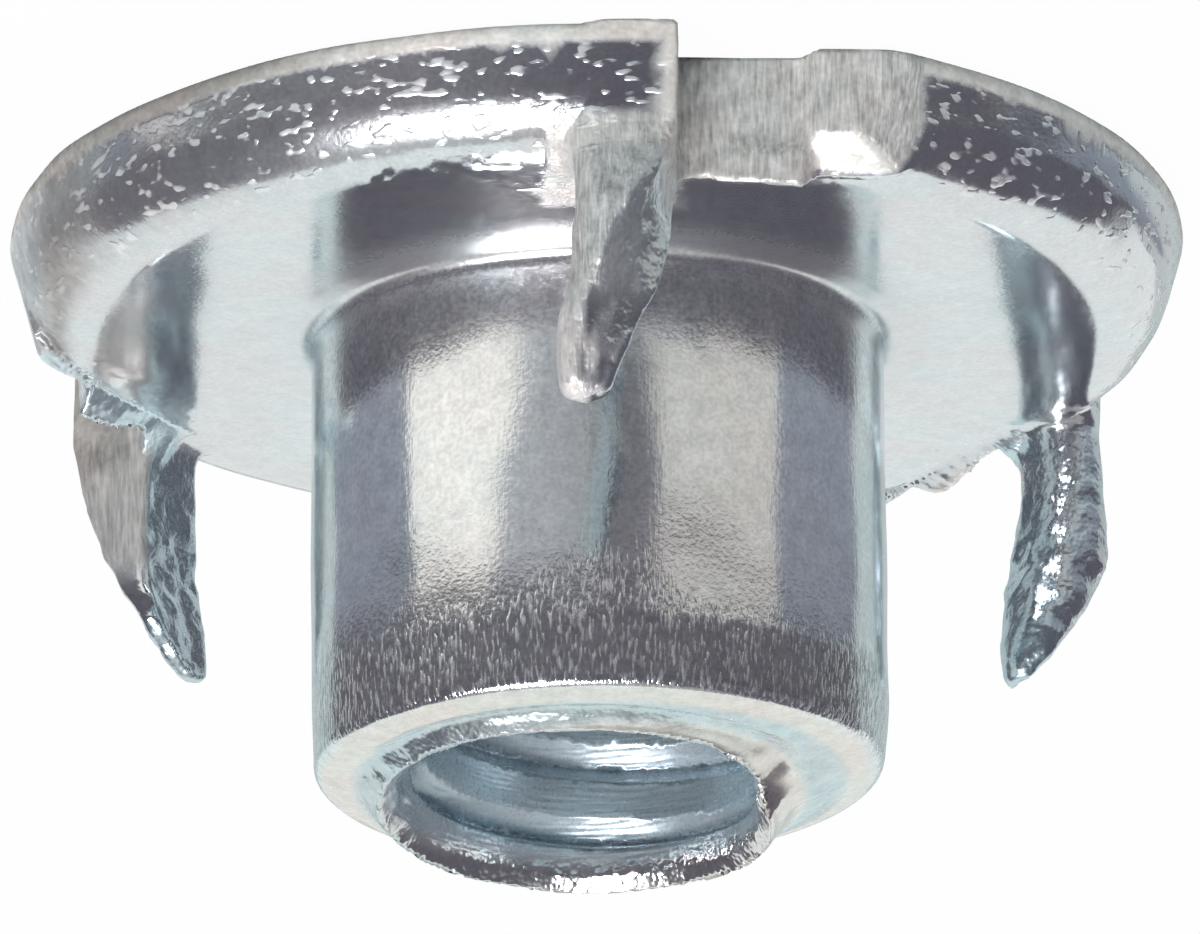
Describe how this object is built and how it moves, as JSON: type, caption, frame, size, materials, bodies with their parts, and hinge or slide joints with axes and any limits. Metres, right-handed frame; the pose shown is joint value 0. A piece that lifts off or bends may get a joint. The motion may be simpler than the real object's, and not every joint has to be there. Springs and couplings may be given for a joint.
{
  "type": "three-prong tee nut",
  "caption": "Pressed steel tee nut: round flange with rounded rim, threaded round-ended barrel, and turned-up rim prongs beside straight sheared notches, bright zinc plated.",
  "frame": {"origin": "on the thread's axis, in the flange's flat outer face", "axes": "+Z along the thread's axis, from the flange's outer face up the barrel; one prong points close to -Y from the axis"},
  "size_m": [0.0118, 0.0118, 0.0063],
  "materials": {
    "zinc_plate": "bright zinc plate, satin to semi-bright, rough on the sheared faces"
  },
  "bodies": {
    "root": {"tee_nut": "zinc_plate"}
  },
  "joints": []
}
